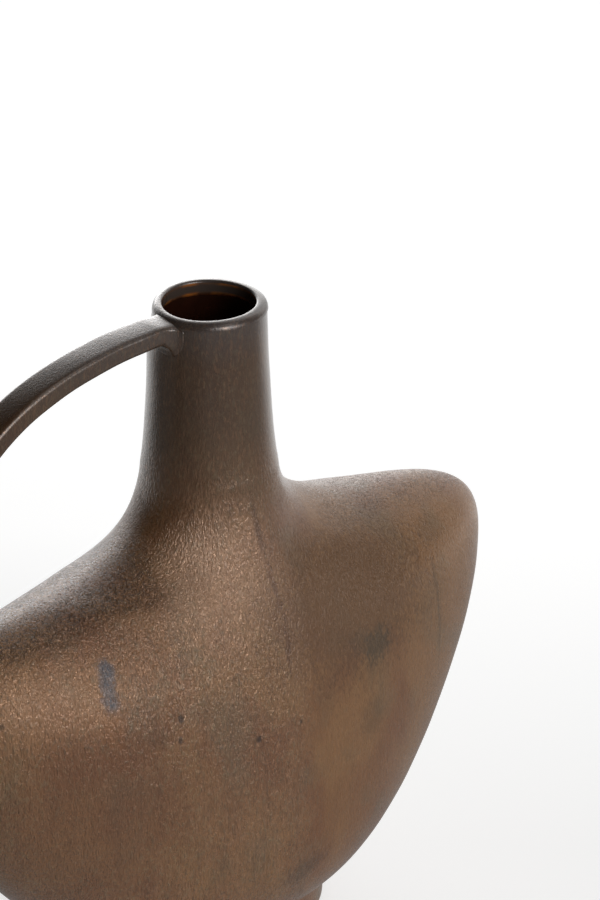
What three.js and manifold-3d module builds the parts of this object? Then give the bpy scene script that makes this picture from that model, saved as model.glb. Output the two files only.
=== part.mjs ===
// A ceramic vase: a hollow winged body in two pressed halves, a bottle neck with a rounded lip,
// a strap handle from the rim to the left shoulder, a foot ring and a floor slab.
// Millimetres, +Z up. The origin is the centre of the foot's underside. +X runs to the right wing
// and -Y is the front.

import * as THREE from 'three';
import { mergeVertices } from 'three/addons/utils/BufferGeometryUtils.js';
import Module from 'manifold-3d';

// Body

const BODY_HEIGHT = 250;          // underside of the foot to the joint with the neck
const BODY_WIDTH = 338.5;         // wing tip to wing tip
const BODY_DEPTH = 124;           // front to back at the belly
const BODY_WALL = 6;
const SHOULDER_REACH = 96.5;      // axis to the middle of a shoulder
const SHOULDER_DROP = 40.8;       // neck joint down to the middle of a shoulder
const SHOULDER_FALL = 7.9;        // degrees that a shoulder falls towards its wing there
const SHOULDER_LEAN = 3.3;        // how much higher the left shoulder stands than on a level body
const TIP_DROP = 82.1;            // neck joint down to the level of the wing tips
const BELLY_LIFT = 46.7;          // top of the foot up to the deepest level of the belly
const RIDGE_SOFT_SHARE = 0.03;    // how softly the upright ridge of each face is rounded
const LIFT_POWER = 1.56;          // how much of the rings' lift is left to the wings' ends
const FLARE_SPREAD_SHARE = 1.85;  // how much longer the neck's flare is in the middle of a face

// How much slimmer than an oval the rings are towards the wings, and the shares of the outline
// over which that and the lean act

const BODY_SLIM_SHARE = 0.144;
const SHOULDER_SLIM_SHARE = 0.168;
const SHOULDER_END_SHARE = 0.45;
const LEAN_END_SHARE = 0.9;

// Lengths of the outlines' tangents, as shares of the chord that each one shapes

const SHOULDER_SHARES = { leave: 0.446, arrive: 0.194 };
const WING_SHARES = { leave: 0.755, arrive: 0.255 };
const FLANK_SHARES = { leave: 0.331, arrive: 0.234 };
const CHEST_SHARES = { leave: 0.317, arrive: 0.578 };
const BELLY_SHARES = { leave: 0.735, arrive: 0.02 };

// Neck

const NECK_LENGTH = 80;           // joint with the body to the top of the rim
const NECK_ROOT = 63.8;           // diameter at the joint
const MOUTH = 55.3;               // outer diameter at the rim
const LIP = 5.5;                  // thickness of the lip
const LIP_OUTER_ROUND = 3.6;      // radius of the lip's outer edge
const LIP_INNER_ROUND = 1.2;      // radius of the lip's inner edge
const COLLAR_HEIGHT = 6.3;        // rim down to where the bore widens
const COLLAR_STEP = 0.9;          // how far the bore widens there
const NECK_WAIST_SHARE = 0.27;    // part of the taper that is reached a third of the way up
const LAP_DEPTH = 5;              // how far the neck's skirt reaches down inside the shells
const LAP_SHARE = 0.5;            // the skirt's part of the body's wall

// Foot

const FOOT_LENGTH = 122.4;
const FOOT_WIDTH = 85.8;
const FOOT_HEIGHT = 19.3;
const FOOT_WALL = 9;
const FOOT_DRAFT = 1.2;           // how far the ring draws in towards its underside
const FOOT_ROUND = 1.6;           // radius of the edge that it stands on
const SEAT_SHARE = 0.45;          // part of the ring's top that carries the shells

// Handle

const HANDLE_WIDTH = 17.2;
const HANDLE_THICKNESS = 9.3;
const HANDLE_EDGE = 3;            // radius of the strap's long edges
const HANDLE_STEP = 0.3;          // rim down to the strap's upper face
const HANDLE_INSET = 11.7;        // wing tip in to the middle of the lower root
const HANDLE_SINK = 9;            // lower root's depth in the shoulder before it is cut to it
const HANDLE_FLARE = 2.2;         // how far the roots spread on each side
const HANDLE_FLARE_LENGTH = 15;
// Points that bend the strap, as shares of its run outwards and its fall to the shoulder
const HANDLE_BEND_SHARES = [[0.576, 0.048], [1.047, 0.170]];

// Fits and facets

const FIT_GAP = 0.3;              // left where curved faces meet
const LEVELS = 32;                // steps along the body's outline
const TURN = 52;                  // steps round the vase
const NECK_STEPS = 9;
const LIP_STEPS = 4;
const ROUND_STEPS = 3;
const HANDLE_STEPS = 40;
const CORNER_STEPS = 3;

const HEIGHT = BODY_HEIGHT + NECK_LENGTH;
const rootRadius = NECK_ROOT / 2;
const mouthRadius = MOUTH / 2;
const boreRadius = mouthRadius - LIP;
const tipReach = BODY_WIDTH / 2;
const seat = FOOT_WALL * SEAT_SHARE;
const ledge = BODY_HEIGHT - LAP_DEPTH;
const skirtRadius = rootRadius - BODY_WALL * LAP_SHARE;

// Outlines

// A cubic curve whose tangents are shares of its chord
function bend(from, fromTangent, to, toTangent, shares) {
  const chord = from.distanceTo(to);
  return new THREE.CubicBezierCurve(
    from,
    from.clone().addScaledVector(fromTangent, chord * shares.leave),
    to.clone().addScaledVector(toTangent, -chord * shares.arrive),
    to,
  );
}

function pathOf(curves) {
  const path = new THREE.CurvePath();
  curves.forEach((curve) => path.add(curve));
  return path;
}

const rim = new THREE.Vector2(mouthRadius, HEIGHT - LIP_OUTER_ROUND);
const joint = new THREE.Vector2(rootRadius, BODY_HEIGHT);
const neckFall = rim.y - joint.y;
const waist = new THREE.Vector2(
  THREE.MathUtils.lerp(mouthRadius, rootRadius, NECK_WAIST_SHARE),
  joint.y + neckFall / 3,
);
const neckCurve = new THREE.CubicBezierCurve(
  rim,
  new THREE.Vector2(rim.x, rim.y - neckFall / 3),
  waist,
  joint,
);

const down = new THREE.Vector2(0, -1);
const inwards = new THREE.Vector2(-1, 0);

const leaving = joint.clone().sub(waist).normalize();
const fall = THREE.MathUtils.degToRad(SHOULDER_FALL);
const descent = new THREE.Vector2(Math.cos(fall), -Math.sin(fall));
const shoulder = new THREE.Vector2(SHOULDER_REACH, BODY_HEIGHT - SHOULDER_DROP);
const tip = new THREE.Vector2(tipReach, BODY_HEIGHT - TIP_DROP);
const toe = new THREE.Vector2(FOOT_LENGTH / 2, FOOT_HEIGHT);
const belly = new THREE.Vector2(BODY_DEPTH / 2, FOOT_HEIGHT + BELLY_LIFT);
const heel = new THREE.Vector2(FOOT_WIDTH / 2, FOOT_HEIGHT);

// The wings' outline, from the neck joint to the foot. It is the body's own outline where `across`
// is 1, at the wings' ends, and the neck flares out more softly where it is less.
function wingPath(across) {
  const softer = 1 + FLARE_SPREAD_SHARE * (1 - across);
  const flare = { ...SHOULDER_SHARES, leave: SHOULDER_SHARES.leave * softer };
  return pathOf([
    bend(joint, leaving, shoulder, descent, flare),
    bend(shoulder, descent, tip, down, WING_SHARES),
    bend(tip, down, toe, inwards, FLANK_SHARES),
  ]);
}

// The body's outline as the side shows it
const sidePath = pathOf([
  bend(joint, leaving, belly, down, CHEST_SHARES),
  bend(belly, down, heel, inwards, BELLY_SHARES),
]);

// The rings follow each other evenly along both outlines, with one more at the wing tips and one
// more at the belly, so that the body reaches its full width and depth.
function levelShares() {
  const even = Array.from({ length: LEVELS + 1 }, (_, level) => level / LEVELS);
  const frontPath = wingPath(1);
  const toTip = frontPath.getCurveLengths()[1] / frontPath.getLength();
  const toBelly = sidePath.getCurveLengths()[0] / sidePath.getLength();
  return [...even, toTip, toBelly].sort((a, b) => a - b);
}

// How far a step of the turn lies across towards a wing and forth towards the back
function bearing(step) {
  const angle = (step / TURN) * 2 * Math.PI;
  const onSeam = step % (TURN / 2) === 0;
  return { across: Math.cos(angle), forth: onSeam ? 0 : Math.sin(angle) };
}

const shares = levelShares();
const sideOutline = shares.map((share) => sidePath.getPoint(share));
const wingOutlines = Array.from({ length: TURN }, (_, step) => {
  const path = wingPath(Math.abs(bearing(step).across));
  return shares.map((share) => path.getPoint(share));
});

// The move that sinks the point of an outline square to it, into the wall
function sinking(outline, level, depth) {
  const before = outline[Math.max(level - 1, 0)];
  const after = outline[Math.min(level + 1, outline.length - 1)];
  const along = after.clone().sub(before).normalize();
  return new THREE.Vector2(along.y, -along.x).multiplyScalar(depth);
}

// Rings round the axis: each gives its point at a step of the turn

function oval(length, width, level) {
  return (step) => {
    const { across, forth } = bearing(step);
    return new THREE.Vector3(length * across, width * forth, level);
  };
}

function circle(radius, level) {
  return oval(radius, radius, level);
}

// A smooth hump over the first part of the outline
function hump(share, endShare) {
  return Math.sin(Math.PI * Math.min(share / endShare, 1)) ** 2;
}

// How much of the wings' outline lifts a ring. It leaves a soft upright ridge in the middle of the
// front and of the back.
function liftAt(across) {
  const soft = RIDGE_SOFT_SHARE;
  return ((Math.hypot(across, soft) - soft) / (Math.hypot(1, soft) - soft)) ** LIFT_POWER;
}

function bodyRing(level, depth) {
  const share = shares[level];
  const side = sideOutline[level];
  const sideMove = sinking(sideOutline, level, depth);
  const lean = SHOULDER_LEAN * hump(share, LEAN_END_SHARE);
  const slim = BODY_SLIM_SHARE * hump(share, 1)
    + SHOULDER_SLIM_SHARE * hump(share, SHOULDER_END_SHARE);
  return (step) => {
    const { across, forth } = bearing(step);
    const outline = wingOutlines[step % TURN];
    const front = outline[level].clone().add(sinking(outline, level, depth));
    const width = side.x * (1 - slim * across * across) + sideMove.x;
    const rise = THREE.MathUtils.lerp(side.y + sideMove.y, front.y, liftAt(across));
    return new THREE.Vector3(front.x * across, width * forth, rise - lean * across);
  };
}

function bodyRings(depth) {
  return shares.map((_, level) => bodyRing(level, depth));
}

// Solids

// Triangles that close a flat outline and keep the way it turns
function capFaces(outline) {
  const turn = Math.sign(THREE.ShapeUtils.area(outline));
  return THREE.ShapeUtils.triangulateShape(outline, []).map(([a, b, c]) => {
    const area = THREE.ShapeUtils.area([outline[a], outline[b], outline[c]]);
    return Math.sign(area) === turn ? [a, b, c] : [a, c, b];
  });
}

// A skin over sections that turn anticlockwise about the way they follow each other. It either
// closes on itself or is capped at both ends, by the flat outlines of its first and last section.
function skin(sections, capOutlines) {
  const count = sections[0].length;
  const faces = [];
  const spans = capOutlines ? sections.length - 1 : sections.length;
  for (let i = 0; i < spans; i += 1) {
    const here = i * count;
    const next = ((i + 1) % sections.length) * count;
    for (let j = 0; j < count; j += 1) {
      const k = (j + 1) % count;
      faces.push(here + j, here + k, next + k);
      faces.push(here + j, next + k, next + j);
    }
  }
  if (capOutlines) {
    const last = spans * count;
    capFaces(capOutlines[0]).forEach(([a, b, c]) => faces.push(a, c, b));
    capFaces(capOutlines[1]).forEach(([a, b, c]) => faces.push(last + a, last + b, last + c));
  }
  const geometry = new THREE.BufferGeometry().setFromPoints(sections.flat());
  geometry.setIndex(faces);
  return geometry;
}

// A wall that follows a closed profile of rings, outside downwards and inside upwards
function wallBetween(profile, firstStep, lastStep) {
  const sections = [];
  const whole = lastStep - firstStep === TURN;
  for (let step = firstStep; step <= lastStep - (whole ? 1 : 0); step += 1) {
    sections.push(profile.map((ring) => ring(step)));
  }
  const seams = [sections[0], sections.at(-1)].map((section) => (
    section.map((point) => new THREE.Vector2(point.x, point.z))
  ));
  return skin(sections, whole ? null : seams);
}

// A filled solid from rings that follow each other upwards
function filled(rings) {
  const sections = rings.map((ring) => Array.from({ length: TURN }, (_, step) => ring(step)));
  const ends = [sections[0], sections.at(-1)].map((section) => (
    section.map((point) => new THREE.Vector2(point.x, point.y))
  ));
  return skin(sections, ends);
}

// Shells

// The inner face leaves out the rings next to both ends, where the ledge and the floor take over
function shellProfile() {
  const outside = bodyRings(0);
  const inside = bodyRings(BODY_WALL).slice(2, -2).reverse();
  const seatLength = FOOT_LENGTH / 2 - seat;
  const seatWidth = FOOT_WIDTH / 2 - seat;
  return [
    ...outside,
    oval(seatLength, seatWidth, FOOT_HEIGHT),
    oval(seatLength, seatWidth, FOOT_HEIGHT + BODY_WALL),
    ...inside,
    circle(rootRadius - BODY_WALL, ledge),
    circle(skirtRadius, ledge),
    circle(skirtRadius, BODY_HEIGHT),
  ];
}

// Neck

// A quarter of a round edge, about a circle that runs along the lip
function lipEdge(centreRadius, centreLevel, radius, fromAngle, toAngle) {
  return Array.from({ length: LIP_STEPS + 1 }, (_, i) => {
    const angle = THREE.MathUtils.lerp(fromAngle, toAngle, i / LIP_STEPS);
    return circle(
      centreRadius + radius * Math.cos(angle),
      centreLevel + radius * Math.sin(angle),
    );
  });
}

function outerEdge(gap, fromAngle, toAngle) {
  const centre = mouthRadius - LIP_OUTER_ROUND;
  return lipEdge(centre, HEIGHT - LIP_OUTER_ROUND, LIP_OUTER_ROUND + gap, fromAngle, toAngle);
}

function innerEdge() {
  const centre = boreRadius + LIP_INNER_ROUND;
  return lipEdge(centre, HEIGHT - LIP_INNER_ROUND, LIP_INNER_ROUND, Math.PI, Math.PI / 2);
}

function neckProfile() {
  const outline = neckCurve.getPoints(NECK_STEPS);
  const outside = outline.slice(1).map((point) => circle(point.x, point.y));
  const collarLevel = HEIGHT - COLLAR_HEIGHT;
  const bore = outline.filter((point) => point.y < collarLevel).map((point) => {
    const share = THREE.MathUtils.inverseLerp(collarLevel, BODY_HEIGHT, point.y);
    return circle(point.x - THREE.MathUtils.lerp(LIP - COLLAR_STEP, BODY_WALL, share), point.y);
  });
  return [
    ...innerEdge(),
    ...outerEdge(0, Math.PI / 2, 0),
    ...outside,
    circle(skirtRadius - FIT_GAP, BODY_HEIGHT),
    circle(skirtRadius - FIT_GAP, ledge),
    circle(rootRadius - BODY_WALL, ledge),
    ...bore.reverse(),
    circle(boreRadius + COLLAR_STEP, collarLevel),
    circle(boreRadius, collarLevel),
  ];
}

// Foot

function footProfile() {
  const inner = { length: FOOT_LENGTH / 2 - FOOT_WALL, width: FOOT_WIDTH / 2 - FOOT_WALL };
  const edge = Array.from({ length: ROUND_STEPS + 1 }, (_, i) => {
    const angle = (i / ROUND_STEPS) * (Math.PI / 2);
    const drawnIn = FOOT_DRAFT + FOOT_ROUND * (1 - Math.cos(angle));
    const level = FOOT_ROUND * (1 - Math.sin(angle));
    return oval(FOOT_LENGTH / 2 - drawnIn, FOOT_WIDTH / 2 - drawnIn, level);
  });
  return [
    oval(FOOT_LENGTH / 2, FOOT_WIDTH / 2, FOOT_HEIGHT),
    ...edge,
    oval(inner.length, inner.width, 0),
    oval(inner.length, inner.width, FOOT_HEIGHT),
  ];
}

function floorSlab() {
  const gap = seat + FIT_GAP;
  const rings = [FOOT_HEIGHT, FOOT_HEIGHT + BODY_WALL].map((level) => (
    oval(FOOT_LENGTH / 2 - gap, FOOT_WIDTH / 2 - gap, level)
  ));
  return filled(rings);
}

// Handle

// The left shoulder's level at a distance from the axis, on the outline's way out to the tip
function shoulderLevel(reach) {
  const outline = bodyRings(0).map((ring) => ring(TURN / 2));
  const after = outline.findIndex((point) => point.x < -reach);
  const from = outline[after - 1];
  const to = outline[after];
  return THREE.MathUtils.mapLinear(-reach, from.x, to.x, from.z, to.z);
}

function handlePath() {
  const reach = tipReach - HANDLE_INSET;
  const start = new THREE.Vector3(
    -(mouthRadius - LIP / 2),
    0,
    HEIGHT - HANDLE_STEP - HANDLE_THICKNESS / 2,
  );
  const end = new THREE.Vector3(-reach, 0, shoulderLevel(reach));
  const bends = HANDLE_BEND_SHARES.map(([run, fall]) => new THREE.Vector3(
    THREE.MathUtils.lerp(start.x, end.x, run),
    0,
    THREE.MathUtils.lerp(start.z, end.z, fall),
  ));
  const landing = end.clone().sub(bends[1]).normalize();
  const path = new THREE.CurvePath();
  path.add(new THREE.CubicBezierCurve3(start, bends[0], bends[1], end));
  path.add(new THREE.LineCurve3(end, end.clone().addScaledVector(landing, HANDLE_SINK)));
  return path;
}

// A rectangle with round corners, anticlockwise
function strapSection(width, thickness, edge) {
  const corners = [[1, 1], [-1, 1], [-1, -1], [1, -1]];
  return corners.flatMap(([across, over], quarter) => (
    Array.from({ length: CORNER_STEPS + 1 }, (_, i) => {
      const angle = (quarter + i / CORNER_STEPS) * (Math.PI / 2);
      return new THREE.Vector2(
        across * (width / 2 - edge) + edge * Math.cos(angle),
        over * (thickness / 2 - edge) + edge * Math.sin(angle),
      );
    })
  ));
}

// How far a root has spread at a distance from the face that it grows out of
function flare(distance) {
  const left = Math.max(0, 1 - distance / HANDLE_FLARE_LENGTH);
  return HANDLE_FLARE * left * left;
}

// The strap's upper face runs straight into the rim, so the upper root spreads downwards
function strap() {
  const path = handlePath();
  const length = path.getLength();
  const across = new THREE.Vector3(0, 1, 0);
  const sections = Array.from({ length: HANDLE_STEPS + 1 }, (_, i) => {
    const share = i / HANDLE_STEPS;
    const upper = flare(Math.abs(share * length - LIP / 2));
    const lower = flare(Math.abs((1 - share) * length - HANDLE_SINK));
    const spread = upper + lower;
    const over = path.getTangent(share).cross(across);
    const centre = path.getPoint(share).addScaledVector(over, upper);
    return strapSection(
      HANDLE_WIDTH + 2 * spread,
      HANDLE_THICKNESS + 2 * spread,
      HANDLE_EDGE + spread,
    ).map((point) => (
      centre.clone().addScaledVector(across, point.x).addScaledVector(over, point.y)
    ));
  });
  const end = strapSection(HANDLE_WIDTH, HANDLE_THICKNESS, HANDLE_EDGE);
  return skin(sections, [end, end]);
}

// The neck as a filled plug, larger by the gap
function neckPlug() {
  const outline = neckCurve.getPoints(NECK_STEPS).slice(1).reverse();
  return filled([
    ...outline.map((point) => circle(point.x + FIT_GAP, point.y)),
    ...outerEdge(FIT_GAP, 0, Math.PI / 2),
  ]);
}

const wasm = await Module();
wasm.setup();

function solid(geometry) {
  const merged = mergeVertices(geometry);
  return new wasm.Manifold(new wasm.Mesh({
    numProp: 3,
    vertProperties: Float32Array.from(merged.attributes.position.array),
    triVerts: Uint32Array.from(merged.index.array),
  }));
}

function geometryOf(manifold) {
  const mesh = manifold.getMesh();
  const geometry = new THREE.BufferGeometry();
  geometry.setAttribute('position', new THREE.BufferAttribute(mesh.vertProperties, mesh.numProp));
  geometry.setIndex(Array.from(mesh.triVerts));
  return geometry;
}

// Both roots are cut to the faces that they grow out of
function handle() {
  const body = filled(bodyRings(-FIT_GAP).reverse());
  return geometryOf(solid(strap()).subtract(solid(neckPlug())).subtract(solid(body)));
}

// The vase

const bronzeGlaze = new THREE.MeshStandardMaterial({
  color: '#745b48',
  roughness: 0.42,
  metalness: 0.45,
});
const darkGlaze = new THREE.MeshStandardMaterial({
  color: '#4a423d',
  roughness: 0.35,
  metalness: 0.5,
});
const liningGlaze = new THREE.MeshStandardMaterial({
  color: '#1f1612',
  roughness: 0.2,
  metalness: 0,
});
const footClay = new THREE.MeshStandardMaterial({
  color: '#6f6256',
  roughness: 0.7,
  metalness: 0.1,
});

const vase = new THREE.Group();

function addPiece(name, geometry, material) {
  geometry.computeVertexNormals();
  const piece = new THREE.Mesh(geometry, material);
  piece.name = name;
  vase.add(piece);
}

const shell = shellProfile();
addPiece('rear_shell', wallBetween(shell, 0, TURN / 2), bronzeGlaze);
addPiece('front_shell', wallBetween(shell, TURN / 2, TURN), bronzeGlaze);
addPiece('neck', wallBetween(neckProfile(), 0, TURN), darkGlaze);
addPiece('handle', handle(), darkGlaze);
addPiece('foot_ring', wallBetween(footProfile(), 0, TURN), footClay);
addPiece('floor_slab', floorSlab(), liningGlaze);

export default vase;
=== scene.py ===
# A bronze-glazed ceramic vase with a winged body, a bottle neck and a strap handle, in metres.
# The frame gives the sizes of the pieces; the curves between them repeat the part's own outlines.

import math

import bmesh
import bpy
import numpy as np
from mathutils import Matrix, Vector, noise
from mathutils.bvhtree import BVHTree
from mathutils.geometry import interpolate_bezier


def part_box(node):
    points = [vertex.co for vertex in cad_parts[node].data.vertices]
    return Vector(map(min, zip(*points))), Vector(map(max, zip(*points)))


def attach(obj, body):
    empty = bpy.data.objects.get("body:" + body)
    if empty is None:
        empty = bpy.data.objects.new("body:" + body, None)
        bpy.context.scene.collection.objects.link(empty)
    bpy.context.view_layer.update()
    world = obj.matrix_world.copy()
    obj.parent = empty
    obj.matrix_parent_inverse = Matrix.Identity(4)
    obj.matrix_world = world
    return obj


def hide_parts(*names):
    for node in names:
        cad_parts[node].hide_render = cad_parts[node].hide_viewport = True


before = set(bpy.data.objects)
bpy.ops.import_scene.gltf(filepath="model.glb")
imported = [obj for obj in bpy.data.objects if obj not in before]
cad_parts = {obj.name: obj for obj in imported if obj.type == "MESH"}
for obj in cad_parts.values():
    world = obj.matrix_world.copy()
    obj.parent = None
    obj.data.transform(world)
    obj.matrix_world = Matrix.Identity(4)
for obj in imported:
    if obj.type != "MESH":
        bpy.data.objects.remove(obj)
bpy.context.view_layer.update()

MM = 0.001

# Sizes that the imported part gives

SHELL_LOW, SHELL_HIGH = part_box("front_shell")
NECK_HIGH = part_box("neck")[1]
FOOT_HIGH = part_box("foot_ring")[1]

RIM = NECK_HIGH.z
JOINT = SHELL_HIGH.z                 # level of the joint between body and neck
FOOT_TOP = FOOT_HIGH.z
TIP_REACH = SHELL_HIGH.x             # axis to a wing tip
BELLY_REACH = -SHELL_LOW.y           # axis to the belly
ROOT_RADIUS = NECK_HIGH.x            # outside of the neck where it meets the body
FOOT_LENGTH = FOOT_HIGH.x            # half sizes of the foot ring's oval
FOOT_WIDTH = FOOT_HIGH.y

# Body

BODY_WALL = 6 * MM
SHOULDER_REACH = 96.5 * MM           # axis to the middle of a shoulder
SHOULDER_DROP = 40.8 * MM            # neck joint down to the middle of a shoulder
SHOULDER_FALL = math.radians(7.9)    # slope of a shoulder down towards its wing there
SHOULDER_LEAN = 3.3 * MM             # how much higher the left shoulder stands than on a level body
TIP_DROP = 82.1 * MM                 # neck joint down to the level of the wing tips
BELLY_LIFT = 46.7 * MM               # top of the foot up to the deepest level of the belly
LAP_DEPTH = 5 * MM                   # the neck's skirt inside the shells
SEAT = 4.05 * MM                     # width of the foot's top that carries the shells

LAP_SHARE = 0.5                      # part of the wall that the skirt takes
RIDGE_SOFT_SHARE = 0.03              # how softly the upright ridge of each face is rounded
LIFT_POWER = 1.56                    # how much of the rings' lift is left to the wings' ends
FLARE_SPREAD_SHARE = 1.85            # how much longer the neck's flare is in the middle of a face
BODY_SLIM_SHARE = 0.144              # how much slimmer than an oval the rings are towards the wings
SHOULDER_SLIM_SHARE = 0.168          # and how much more beside the shoulders
SHOULDER_END_SHARE = 0.45            # part of the outline over which the shoulders' slimming acts
LEAN_END_SHARE = 0.9                 # part of the outline over which the lean acts

# Tangents of the outlines, as shares of their chords: where a curve leaves and where it arrives

SHOULDER_SHARES = (0.446, 0.194)
WING_SHARES = (0.755, 0.255)
FLANK_SHARES = (0.331, 0.234)
CHEST_SHARES = (0.317, 0.578)
BELLY_SHARES = (0.735, 0.02)

# Neck

MOUTH_RADIUS = 27.65 * MM
LIP = 5.5 * MM
LIP_OUTER_ROUND = 3.6 * MM
LIP_INNER_ROUND = 1.2 * MM
COLLAR_HEIGHT = 6.3 * MM             # rim down to where the bore widens
COLLAR_STEP = 0.9 * MM
LIP_LEVEL = 0.2                      # faces inside the mouth that look up more than this are the lip's
NECK_WAIST_SHARE = 0.27              # where the flare's tangent aims, from the mouth out to the root

# Foot

FOOT_WALL = 9 * MM
FOOT_DRAFT = 1.2 * MM                # how much the foot draws in towards the table
FOOT_ROUND = 1.6 * MM
SLAB_GAP = 0.3 * MM                  # between the floor slab's edge and the shells

# Handle

HANDLE_WIDTH = 17.2 * MM
HANDLE_THICKNESS = 9.3 * MM
HANDLE_EDGE = 2.6 * MM               # round of the strap's four edges
HANDLE_CROWN = 0.4 * MM              # how far the strap's upper face stands up in its middle
HANDLE_BELLY = 1.0 * MM              # how much further its lower face hangs down
HANDLE_STEP = 0.3 * MM               # rim down to the strap's upper face
HANDLE_INSET = 11.7 * MM             # wing tip in to the middle of the lower root

# Where the tangents of its line aim, as shares of its run outwards and its fall to the shoulder

HANDLE_BEND_SHARES = ((0.576, 0.03), (1.047, 0.17))

NEAR_FILLET = 9 * MM                 # in front of the upper root
FAR_FILLET = 5 * MM                  # behind the upper root
UNDER_FILLET = 8 * MM                # below the upper root
SHOULDER_FILLET = 7 * MM             # round the lower root
ROOT_WRAP = 20 * MM                  # over which the strap's end bends round the neck
ROOT_SPREAD = 1.5                    # how much wider than the strap its end lies on the neck
SADDLE_REACH = 9 * MM                # over which the strap's upper face dips beside the lip
SADDLE_DEPTH = 0.8 * MM
SADDLE_ROUND = 3 * MM                # round between that dip and the lip

# The rim is pressed in a little behind the handle

PRESS_WAY = Vector((0.755, -0.656, 0))
PRESS_DEPTH = 3 * MM
PRESS_DROP = 24 * MM                 # how far down the neck this reaches
PRESS_FADE = 30 * MM                 # and how far out along the handle

# Glaze

THIN_FROM = 190 * MM                 # level where the glaze starts to get thinner towards the rim
THIN_TO = 290 * MM
GREY_DEPTH = 22 * MM                 # and turns to grey this close to the rim
THIN_SHOW = 0.45                     # what is left of the streaks' colours on the thin glaze
THIN_GRAIN = 0.15                    # and of their relief
GRAINY_TO = -4 * MM                  # the glaze is grainy as far right as this
SMOOTH_FROM = 22 * MM                # and calm from here
SMOOTH_SHARE = 0.35                  # what is left of the grain on the calm side
STREAK_TILT = math.radians(6)        # lean of the glaze's fine streaks
LAYER_SHIFT = (7.3, 3.1, 5.7)        # sets the layers' noises apart
GRAIN_HEIGHT = 0.8 * MM              # taller than the real grain, as its streaks are drawn coarser too
SPECK_HEIGHT = 0.8                   # as a share of the streaks' height
WRINKLE_HEIGHT = -1.2                # likewise, and cut in
WRINKLE_SIZE = 2.2 * MM
WRINKLE_WIDTH = 0.07                 # of the noise on either side of its middle value
WRINKLE_SHADE = 0.7                   # how much a wrinkle darkens the colour under it: painted shade in its crease
TOP_RANGE = (0.62, 0.88)             # how far up a surface faces that starts to be, and is, a top

# Gloss of the glaze

ROUGHNESS = (0.27, 0.2)              # of the full and of the thin glaze
DULL_STREAKS = 0.2                   # how much rougher the dark streaks are
DULL_RANGE = (0.45, 0.65)            # of the dark streaks' noise
METALLIC = (0.15, 0.5)               # between the pale streaks and on them
METAL_RANGE = (0.4, 0.7)             # of the pale streaks' noise
COAT = 0.2                           # glassy top coat everywhere
GRAINY_COAT = 0.3                    # more of it on the grain
TOP_COAT = 0.4                       # and more again where the grain lay flat
COAT_ROUGHNESS = 0.24

# The lining and the bare clay

AMBER_LINES = (                      # depth below the rim and half width
    (LIP_INNER_ROUND, 1.2 * MM),
    (COLLAR_HEIGHT, 1.3 * MM),
)
CLOUD_SIZE = 9 * MM
SAND_SIZE = 0.8 * MM
STAIN_SIZE = 14 * MM

# Density of the meshes

BODY_TURN = 200                      # columns of a half shell
BODY_LEVELS = 190                    # rows down its outside
INNER_LEVELS = 48                    # rows up its inside
INNER_MARGIN = 4                     # rows of the outside that the inside leaves out at each end
NECK_TURN = 200
NECK_LEVELS = 90
BORE_STRIDE = 3                      # the bore takes every third row of the outside
HANDLE_ROWS = 260
HANDLE_CUTS = 8                      # across each face of the strap
ROUND_STEPS = 8
FOOT_TURN = 180
CURVE_STEPS = 400
WELD = MM / 1000                     # points closer than this are one
THIN_SHARE = 0.0004                  # a narrow row beside each seam keeps the shading smooth across it

SEAM_ANGLE = math.radians(40)        # edges sharper than this stay crisp

# Unevenness of a hand-pressed piece: size and height of its waves

WAVES = ((48 * MM, 0.40 * MM), (17 * MM, 0.13 * MM))
WAVE_SINK = 0.5                      # share of its height that a wave is sunk by: most lie low
CALM_REACH = 5 * MM                  # the waves die out this close to a joint


# Outlines

def bend(start, start_way, end, end_way, shares):
    """The four points of a curve whose tangents are shares of its chord."""
    chord = (end - start).length
    leave, arrive = shares
    return start, start + start_way * chord * leave, end - end_way * chord * arrive, end


def along_curves(curves, shares):
    """Points at the given shares of the length of curves that follow each other."""
    fine = np.array([point for curve in curves for point in interpolate_bezier(*curve, CURVE_STEPS)])
    steps = np.linalg.norm(np.diff(fine, axis=0), axis=1)
    lengths = np.concatenate([[0], np.cumsum(steps)])
    return np.column_stack([np.interp(shares * lengths[-1], lengths, axis) for axis in fine.T])


def with_thin_ends(count):
    """Even shares from 0 to 1, with one more close to each end."""
    even = np.linspace(0, 1, count + 1)
    return np.concatenate([[0, THIN_SHARE], even[1:-1], [1 - THIN_SHARE, 1]])


RIM_EDGE = Vector((MOUTH_RADIUS, RIM - LIP_OUTER_ROUND))
NECK_FOOT = Vector((ROOT_RADIUS, JOINT))
NECK_FALL = RIM_EDGE.y - NECK_FOOT.y
WAIST = Vector((MOUTH_RADIUS + (ROOT_RADIUS - MOUTH_RADIUS) * NECK_WAIST_SHARE, JOINT + NECK_FALL / 3))
NECK_CURVE = (RIM_EDGE, RIM_EDGE - Vector((0, NECK_FALL / 3)), WAIST, NECK_FOOT)

DOWN = Vector((0, -1))
INWARDS = Vector((-1, 0))
LEAVING = (NECK_FOOT - WAIST).normalized()
DESCENT = Vector((math.cos(SHOULDER_FALL), -math.sin(SHOULDER_FALL)))
SHOULDER = Vector((SHOULDER_REACH, JOINT - SHOULDER_DROP))
TIP = Vector((TIP_REACH, JOINT - TIP_DROP))
TOE = Vector((FOOT_LENGTH, FOOT_TOP))
BELLY = Vector((BELLY_REACH, FOOT_TOP + BELLY_LIFT))
HEEL = Vector((FOOT_WIDTH, FOOT_TOP))

WING_CURVES = (
    bend(SHOULDER, DESCENT, TIP, DOWN, WING_SHARES),
    bend(TIP, DOWN, TOE, INWARDS, FLANK_SHARES),
)
SIDE_CURVES = (
    bend(NECK_FOOT, LEAVING, BELLY, DOWN, CHEST_SHARES),
    bend(BELLY, DOWN, HEEL, INWARDS, BELLY_SHARES),
)


# Surfaces

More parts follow.
